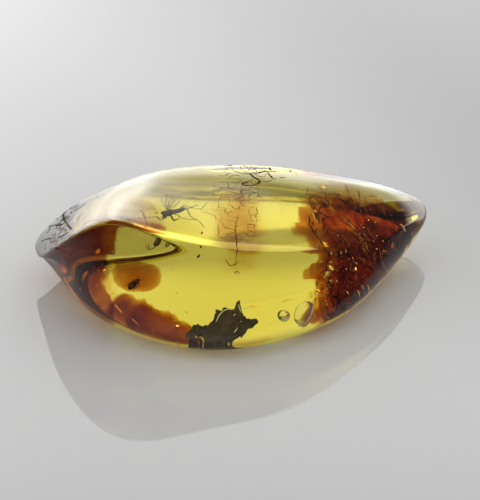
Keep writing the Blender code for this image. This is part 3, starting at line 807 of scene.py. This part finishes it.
gnat_finish = mottled("Gnat's dark skin", (0.008, 0.005, 0.006), (0.036, 0.024, 0.030), 2.2, 0.38, 0.5)
place("gnat_body", gnat_body(), gnat_finish, "gnat", "gnat")
wing_finish = clear_body("Smoky wing", (0.55, 0.48, 0.36), WING_DENSITY, NO_SURFACE)
place("gnat_wings", gnat_wings(), wing_finish, "gnat")


# ---- the beetle and its halo

# A small blunt beetle with ribbed wing cases, in a brown oval halo that its own gases
# stained into the resin while that was still soft. The halo has no surface, only colour.
BEETLE_PLACE = Vector((-9.5, 0.35, 0.0))
BEETLE_TURN = math.radians(47)
BEETLE_LEG_STATIONS = (-0.30, 0.02, 0.36)
BEETLE_LEG = (
    (0.0, 0.16, -0.06), (0.03, 0.30, -0.14), (-0.08, 0.40, -0.10), (-0.18, 0.45, -0.16), (-0.24, 0.46, -0.2),
)
CASE_RIBS = 9
HALO_PLACE = Vector((-9.3, 1.15, 0.15))
HALO_HALF = (2.35, 1.75, 0.7)
HALO_DENSITY = 3100.0


def beetle_mesh():
    rng = random.Random(43)
    bm = bmesh.new()
    add_ball(bm, (-0.22, 0.0, 0.0), (0.52, 0.31, 0.27), detail=48)
    for v in bm.verts:
        across = v.co.y / 0.31
        groove = abs(math.sin(across * CASE_RIBS * math.pi / 2)) ** 0.5
        seam = min(abs(across) * 12, 1.0)
        on_top = eased(v.co.z, -0.05, 0.06)
        v.co.z -= on_top * (0.018 * (1 - groove) + 0.03 * (1 - seam))
    add_ball(bm, (0.33, 0.0, 0.0), (0.27, 0.27, 0.23), rough=0.05, seed=5.0, detail=28)
    add_ball(bm, (0.60, 0.0, -0.02), (0.17, 0.18, 0.15), rough=0.05, seed=6.0, detail=20)
    for side in (1, -1):
        add_ball(bm, (0.64, side * 0.15, 0.03), (0.05, 0.04, 0.05), detail=10)
        joints = ((0.68, side * 0.08, 0.02), (0.80, side * 0.18, 0.04), (0.90, side * 0.30, 0.02))
        feeler = smooth_route(joints, 5)
        add_tube(bm, feeler, [0.018 + (0.022 if i > 7 else 0.0) for i in range(len(feeler))], 7)
        for at in BEETLE_LEG_STATIONS:
            route = smooth_route([(at + u, side * v, w) for u, v, w in BEETLE_LEG], 5)
            add_tube(bm, route, [0.055 - 0.035 * i / len(route) for i in range(len(route))], 7)
            add_bristles(bm, route, 0.007, rng, 3, 0.05)
    bmesh.ops.rotate(bm, matrix=Matrix.Rotation(BEETLE_TURN, 3, "Z"), verts=bm.verts)
    return on_slope(bm, "beetle", BEETLE_PLACE)


def halo_mesh():
    bm = bmesh.new()
    add_ball(bm, (0.0, 0.0, 0.0), HALO_HALF, math.radians(-8), detail=56)
    for v in bm.verts:
        v.co *= 1 + 0.16 * ragged(v.co, 1.1, 21.0) + 0.05 * ragged(v.co, 0.4, 22.0)
    return on_slope(bm, "beetle_halo", HALO_PLACE)


beetle_finish = mottled("Beetle's shell", (0.004, 0.003, 0.003), (0.045, 0.010, 0.004), 1.6, 0.24, 0.3)
place("beetle", beetle_mesh(), beetle_finish, "beetle", "beetle")
halo_finish = clear_body("Brown halo", CRUST_COLOUR, HALO_DENSITY, NO_SURFACE)
place("beetle_halo", halo_mesh(), halo_finish, "amber")


# ---- the flake of bark

# A torn scrap of charred-looking bark at the foot of the front. It is thin and brittle, with
# splintered edges, a grain that runs along it, a hole near its left end and a few pale lines
# where air has crept between the bark and the resin.
FLAKE_OUTLINE = (
    (-4.5, -5.1), (-4.0, -4.6), (-3.9, -4.3), (-3.4, -4.2), (-2.9, -4.5), (-2.4, -4.4),
    (-2.1, -4.0), (-1.9, -3.5), (-1.8, -2.9), (-1.3, -3.1), (-0.9, -2.6), (-0.7, -2.8),
    (-0.1, -2.8), (0.1, -2.4), (0.4, -1.8), (0.5, -2.3), (0.7, -3.1), (1.1, -3.7),
    (1.6, -3.9), (2.1, -3.8), (2.3, -4.0), (2.0, -4.4), (1.3, -4.8), (0.8, -5.4),
    (-0.9, -5.8), (-2.4, -5.8), (-3.5, -5.7), (-4.2, -5.6),
)
FLAKE_HOLE = ((-3.37, -5.34), (-3.16, -5.24), (-2.90, -5.36), (-2.68, -5.62), (-2.86, -5.70), (-3.06, -5.46))
FLAKE_HALF = 0.2
FLAKE_CURL = 0.12
FLAKE_GRID = 0.11
SPLINTER = 0.09
AIR_LINES = (  # on the flake's face
    ((-1.78, -4.32), (-1.66, -4.00), (-1.48, -3.62), (-1.18, -3.26), (-0.86, -3.04), (-0.46, -2.94),
     (0.0, -3.08)),
    ((-0.04, -5.26), (0.20, -5.08), (0.36, -4.78)),
    ((0.60, -4.22), (0.68, -4.12)),
    ((0.34, -2.30), (0.44, -2.70), (0.62, -3.24)),
    ((-0.10, -3.62), (0.02, -3.50), (0.06, -3.34)),
)
AIR_LIFT = 0.12


def curl(u, v):
    """How far the flake bends out of the plane at (u, v)."""
    return FLAKE_CURL * (math.sin(1.3 * u + 0.4) * math.cos(1.1 * v) - 0.3 * math.sin(2.6 * u + 1.7 * v))


def torn(outline, rng, step=0.12):
    """The outline with splinters along it."""
    points = []
    for start, end in zip(outline, (*outline[1:], outline[0])):
        start, end = Vector(start), Vector(end)
        count = max(int((end - start).length / step), 1)
        off = (end - start).orthogonal().normalized()
        for i in range(count):
            jag = 0.0 if i == 0 else rng.uniform(-SPLINTER, SPLINTER)
            points.append(start.lerp(end, i / count) + off * jag)
    return points


def flake_mesh():
    rng = random.Random(47)
    rim = torn(FLAKE_OUTLINE, rng)
    hole = torn(FLAKE_HOLE, rng, 0.3)
    loops = [list(range(len(rim))), list(range(len(rim), len(rim) + len(hole)))]
    edges = [(loop[i], loop[(i + 1) % len(loop)]) for loop in loops for i in range(len(loop))]
    low = [min(p[i] for p in rim) for i in (0, 1)]
    high = [max(p[i] for p in rim) for i in (0, 1)]
    counts = [int((b - a) / FLAKE_GRID) for a, b in zip(low, high)]
    fill = [Vector([edge + (step + rng.uniform(0.2, 0.8)) * FLAKE_GRID for edge, step in zip(low, (i, j))])
            for i in range(counts[0]) for j in range(counts[1])]

    def inside(point, loop):
        turns = False
        for a, b in zip(loop, (*loop[1:], loop[0])):
            if (a[1] > point[1]) != (b[1] > point[1]):
                turns ^= point[0] < a[0] + (point[1] - a[1]) / (b[1] - a[1]) * (b[0] - a[0])
        return turns

    spots = rim + hole + [p for p in fill if inside(p, rim) and not inside(p, hole)]
    flat, _, triangles, *_ = geometry.delaunay_2d_cdt(spots, edges, [], 0, 1e-5)
    kept = []
    for triangle in triangles:
        middle = sum((flat[k] for k in triangle), Vector((0.0, 0.0))) / 3
        if inside(middle, rim) and not inside(middle, hole):
            kept.append(triangle)
    edge_count = len(rim) + len(hole)
    bm = bmesh.new()
    sheets = []
    for side in (1, -1):
        sheet = []
        for k, p in enumerate(flat):
            grain = 0.05 * ragged((p.x * 0.35, p.y * 2.2, side), 0.30, 31.0)
            grain += 0.06 * ragged((p.x, p.y, side), 0.5, 32.0)
            thick = 0.45 * FLAKE_HALF if k < edge_count else FLAKE_HALF
            sheet.append(bm.verts.new((p.x, p.y, curl(p.x, p.y) + side * (thick + grain))))
        sheets.append(sheet)
    used = {}
    for a, b, c in kept:
        bm.faces.new([sheets[0][k] for k in (a, b, c)])
        bm.faces.new([sheets[1][k] for k in (c, b, a)])
        for p, q in ((a, b), (b, c), (c, a)):
            used[(p, q)] = used.get((p, q), 0) + 1
    for p, q in used:
        if (q, p) not in used:
            bm.faces.new((sheets[0][q], sheets[0][p], sheets[1][p], sheets[1][q]))
    bmesh.ops.delete(bm, geom=[v for v in bm.verts if not v.link_faces], context="VERTS")
    return on_slope(bm, "bark_flake")


def air_line_mesh():
    bm = bmesh.new()
    for line in AIR_LINES:
        flat = smooth_route([(*p, 0.0) for p in line], 5)
        route = [Vector((u, v, curl(u, v) + FLAKE_HALF + AIR_LIFT)) for u, v, _ in flat]
        last = len(route) - 1
        add_tube(bm, route, [0.035 * (0.3 + math.sin(math.pi * i / last)) for i in range(last + 1)], 6)
    return on_slope(bm, "air_lines")


bark_finish = mottled("Charred bark", (0.004, 0.002, 0.001), (0.030, 0.012, 0.006), 1.3, 0.7, 0.8)
place("bark_flake", flake_mesh(), bark_finish, "bark", "bark_flake")
silver = mottled("Air film", (0.62, 0.58, 0.46), (0.9, 0.86, 0.7), 3.0, 0.2, 0.1, Metallic=0.6)
place("air_lines", air_line_mesh(), silver, "amber")


# ---- bubbles and specks

# Air that the running resin trapped. The bubbles are hollows in the clear amber itself, and
# with them lie crumbs of wood and a few thin bright streaks in the fracture faces' metallic finish.
BUBBLES = (  # (middle, half axes), and for some the turn about Z and the tilt to the right in degrees
    ((4.99, -10.05, 2.95), (0.66, 0.30, 0.60)),
    ((7.00, -9.00, 2.75), (1.30, 0.20, 1.0), 24.0, -48.0),
    ((0.26, -7.73, 6.66), (0.26, 0.20, 0.15)),
    ((9.3, -5.6, 5.2), (0.30, 0.22, 0.28), 30.0, 0.0),
    ((8.7, -5.4, 6.6), (0.10, 0.10, 0.10)),
    ((9.9, -4.8, 7.2), (0.12, 0.10, 0.12)),
    ((10.6, -3.0, 6.2), (0.11, 0.10, 0.11)),
    ((12.4, -3.0, 5.0), (0.16, 0.12, 0.14)),
    ((-13.2, -8.4, 3.6), (0.14, 0.12, 0.12)),
    ((-11.9, -9.3, 4.4), (0.10, 0.10, 0.10)),
)
SPECKS = (  # (place in the slope's frame, half length)
    ((-7.0, 8.65, 0.4), 0.13), ((-8.3, 5.32, 0.2), 0.16), ((-2.0, 11.08, -0.2), 0.14),
    ((-2.05, 9.62, 0.0), 0.16), ((-3.8, 3.08, 0.1), 0.18), ((-9.0, 8.7, 0.0), 0.12),
    ((-7.9, -2.4, 0.3), 0.10), ((-5.6, -0.9, 0.2), 0.07), ((-4.6, -3.1, 0.3), 0.06),
    ((3.2, 4.4, 0.0), 0.08), ((5.1, 8.0, -0.3), 0.09), ((2.9, 9.9, -0.4), 0.10),
    ((-10.4, 7.1, 0.2), 0.14), ((-10.0, 6.6, 0.1), 0.10), ((-6.2, 1.6, 0.3), 0.06),
)
# Thin bright streaks in the fracture faces' metallic finish, which shine where they catch the light.
BRIGHT_STREAKS = (  # (ends in the slope's frame, half width)
    ((0.95, -2.86), (2.45, -2.62), 0.05), ((4.30, -2.32), (6.00, -1.85), 0.05),
    ((1.8, -2.2), (2.9, -1.9), 0.02), ((3.0, -4.9), (3.9, -4.1), 0.02),
    ((-11.6, -1.78), (-10.7, -2.78), 0.16), ((-9.9, -3.3), (-9.0, -4.2), 0.04),
)
BRIGHT_STREAK_HALF_HEIGHT = 0.02


def add_hollow(bm, seed, middle, half_axes, turn=0.0, tilt=0.0):
    """A bubble's wall, which faces into the bubble."""
    made = bmesh.ops.create_uvsphere(bm, u_segments=32, v_segments=18, radius=1.0)["verts"]
    for v in made:
        v.co *= 1 + 0.07 * ragged(v.co, 0.9, seed)
    size = Matrix.Diagonal((*(h * MM for h in half_axes), 1.0))
    spread = (Matrix.Translation(Vector(middle) * MM) @ Matrix.Rotation(math.radians(turn), 4, "Z")
              @ Matrix.Rotation(math.radians(tilt), 4, "Y") @ size)
    bmesh.ops.transform(bm, matrix=spread, verts=made)
    walls = {face for v in made for face in v.link_faces}
    bmesh.ops.reverse_faces(bm, faces=list(walls))
    for face in walls:
        face.smooth = True


bm = bmesh.new()
bm.from_mesh(amber.data)
for seed, bubble in enumerate(BUBBLES):
    add_hollow(bm, 50.0 + seed, *bubble)
bm.to_mesh(amber.data)
bm.free()

rng = random.Random(53)
bm = bmesh.new()
for spot, size in SPECKS:
    half_axes = (size, size * rng.uniform(0.35, 0.7), size * 0.4)
    add_ball(bm, spot, half_axes, rng.uniform(0, math.pi), 0.35, rng.random() * 40, 12)
place("wood_crumbs", on_slope(bm, "wood_crumbs"), bark_finish, "bark")

bm = bmesh.new()
for start, end, width in BRIGHT_STREAKS:
    middle = ((start[0] + end[0]) / 2, (start[1] + end[1]) / 2 + 0.06, 0.34)
    route = smooth_route(((*start, 0.3), middle, (*end, 0.3)), 6)
    last = len(route) - 1
    widths = [width * (0.2 + 0.9 * math.sin(math.pi * i / last)) * rng.uniform(0.8, 1.2)
              for i in range(last + 1)]
    rings = []
    for point, w in zip(route, widths):
        offsets = ((0, w, 0), (0, 0, BRIGHT_STREAK_HALF_HEIGHT), (0, -w, 0), (0, 0, -BRIGHT_STREAK_HALF_HEIGHT))
        rings.append([bm.verts.new(point + Vector(offset)) for offset in offsets])
    join_rings(bm, rings)
place("bright_streaks", on_slope(bm, "bright_streaks"), glint_finish, "amber")


# ---- the studio

# A pale glossy table with a soft white sweep of light behind it, brightest near the
# horizon, and a window on the left that whitens the nugget's left slope. The table, the
# polish and the clear inside of the nugget each see their own part of the room's light.
FLOOR_SIZE = 4.0
FLOOR_DROP = 0.03
floor_mesh = bpy.data.meshes.new("floor")
half = FLOOR_SIZE / 2
floor_mesh.from_pydata([(-half, -half, -FLOOR_DROP * MM), (half, -half, -FLOOR_DROP * MM),
                        (half, half, -FLOOR_DROP * MM), (-half, half, -FLOOR_DROP * MM)], [], [(0, 1, 2, 3)])
floor = bpy.data.objects.new("floor", floor_mesh)
bpy.context.scene.collection.objects.link(floor)
floor_finish, _ = new_finish("Pale table", (0.445, 0.447, 0.45), Roughness=0.04, IOR=1.5,
                             Specular_IOR_Level=0.3)
floor_mesh.materials.append(floor_finish)

world = bpy.data.worlds.new("studio")
bpy.context.scene.world = world
world.use_nodes = True
sky = world.node_tree
backdrop = sky.nodes["Background"]


def sky_math(operation, *values):
    """One sum on the sky's values."""
    node = sky.nodes.new("ShaderNodeMath")
    node.operation = operation
    for socket, value in zip(node.inputs, values):
        if isinstance(value, float):
            socket.default_value = value
        else:
            sky.links.new(value, socket)
    return node.outputs[0]


def sky_step(value, start, end):
    """0 where the value is at start, 1 where it is at end, and a smooth rise between."""
    node = sky.nodes.new("ShaderNodeMapRange")
    node.interpolation_type = "SMOOTHSTEP"
    sky.links.new(value, node.inputs["Value"])
    return with_values(node, From_Min=start, From_Max=end).outputs["Result"]


where = sky.nodes.new("ShaderNodeTexCoord").outputs["Generated"]
split = sky.nodes.new("ShaderNodeSeparateXYZ")
sky.links.new(where, split.inputs[0])
x, y, z = split.outputs
height = sky_math("MULTIPLY", sky_math("ARCSINE", z), 180 / math.pi)
bearing = sky_math("MULTIPLY", sky_math("ARCTAN2", x, y), 180 / math.pi)


def level(*steps):
    """Adds up (amount, mask, ...) rows, each amount times its masks, into one brightness."""
    total = None
    for amount, *masks in steps:
        value = amount
        for mask in masks:
            value = sky_math("MULTIPLY", mask, value)
        total = value if total is None else sky_math("ADD", value, total)
    return total


# Where the lights are, in degrees: the bearing is 0 straight behind the nugget and rises to the
# right, and the height is above the horizon.
window = level((1.0, sky_step(bearing, -2.0, -14.0), sky_step(bearing, -65.0, -50.0),
                sky_step(height, 38.0, 22.0)))
back_light = level((1.0, sky_step(bearing, -14.0, -8.0), sky_step(bearing, 24.0, 10.0),
                    sky_step(height, 29.0, 16.0)))
slant = sky_math("MULTIPLY_ADD", height, -1.4, bearing)
afterglow = level((1.0, sky_step(bearing, -16.0, -9.0), sky_step(slant, -29.0, -38.0),
                   sky_step(height, 36.5, 31.0)))
strip = level((1.0, sky_step(bearing, 8.0, 16.0), sky_step(bearing, 50.0, 42.0), sky_step(height, 16.0, 9.0)))
high_window = level((1.0, sky_step(bearing, -2.0, 4.0), sky_step(bearing, 70.0, 55.0),
                     sky_step(height, 38.5, 43.0), sky_step(height, 70.0, 64.0)))

# What the room gives to the table, what shows in the polish, and what shines through.
room = level((0.40, sky_step(height, 50.0, 5.0)), (1.0, 1.0))
polish = level((2.7, window), (2.4, back_light), (1.8, afterglow), (2.2, strip), (4.0, high_window),
               (0.08, 1.0), (0.28, sky_step(bearing, -14.0, -8.0), sky_step(bearing, 22.0, 13.0)))
light_path = sky.nodes.new("ShaderNodeLightPath").outputs
mirrored = level((1.0, light_path["Is Glossy Ray"], light_path["Is Reflection Ray"]))
refracted = light_path["Is Transmission Ray"]
inside = sky_step(light_path["Transmission Depth"], 0.5, 1.5)
straight = sky_step(light_path["Diffuse Depth"], 0.9, 0.1)
over = sky_math("MULTIPLY", sky_step(bearing, 5.0, 14.0), -20.0)
low_sky = sky_step(sky_math("ADD", height, over), 57.0, 51.0)
behind = level((1.0, low_sky, sky_step(y, -0.05, 0.15), straight))
beside = level((1.0, sky_step(bearing, 128.0, 136.0), sky_step(bearing, 170.0, 164.0), straight))
onto_table = sky_step(light_path["Diffuse Depth"], 0.1, 0.9)
through = level((2.5, 1.0), (-1.83, behind), (0.42, behind, sky_step(height, 46.0, 34.0)),
                (-0.55, behind, sky_step(height, 22.0, 12.0)), (-1.9, beside),
                (4.5, onto_table, sky_step(y, 0.65, 0.85)), (-1.7, onto_table, sky_step(y, -0.05, 0.1)),
                (2.0, onto_table, sky_step(y, 0.1, -0.3)))
total = level((1.0, room), (1.0, mirrored, sky_math("SUBTRACT", polish, room)),
              (-0.85, mirrored, inside, polish), (0.4, mirrored, inside),
              (1.0, refracted, sky_math("SUBTRACT", through, room)))
sky.links.new(total, backdrop.inputs["Strength"])
warm = sky.nodes.new("ShaderNodeMix")
warm.data_type = "RGBA"
sky.links.new(level((1.0, mirrored, high_window)), warm.inputs["Factor"])
warm.inputs[6].default_value = (1.0, 0.998, 0.995, 1.0)
warm.inputs[7].default_value = (1.0, 0.86, 0.32, 1.0)
sky.links.new(warm.outputs[2], backdrop.inputs["Color"])

scene = bpy.context.scene
scene.view_settings.view_transform = "Standard"
scene.cycles.max_bounces = 24
scene.cycles.glossy_bounces = 12
scene.cycles.transmission_bounces = 16
scene.cycles.transparent_max_bounces = 24
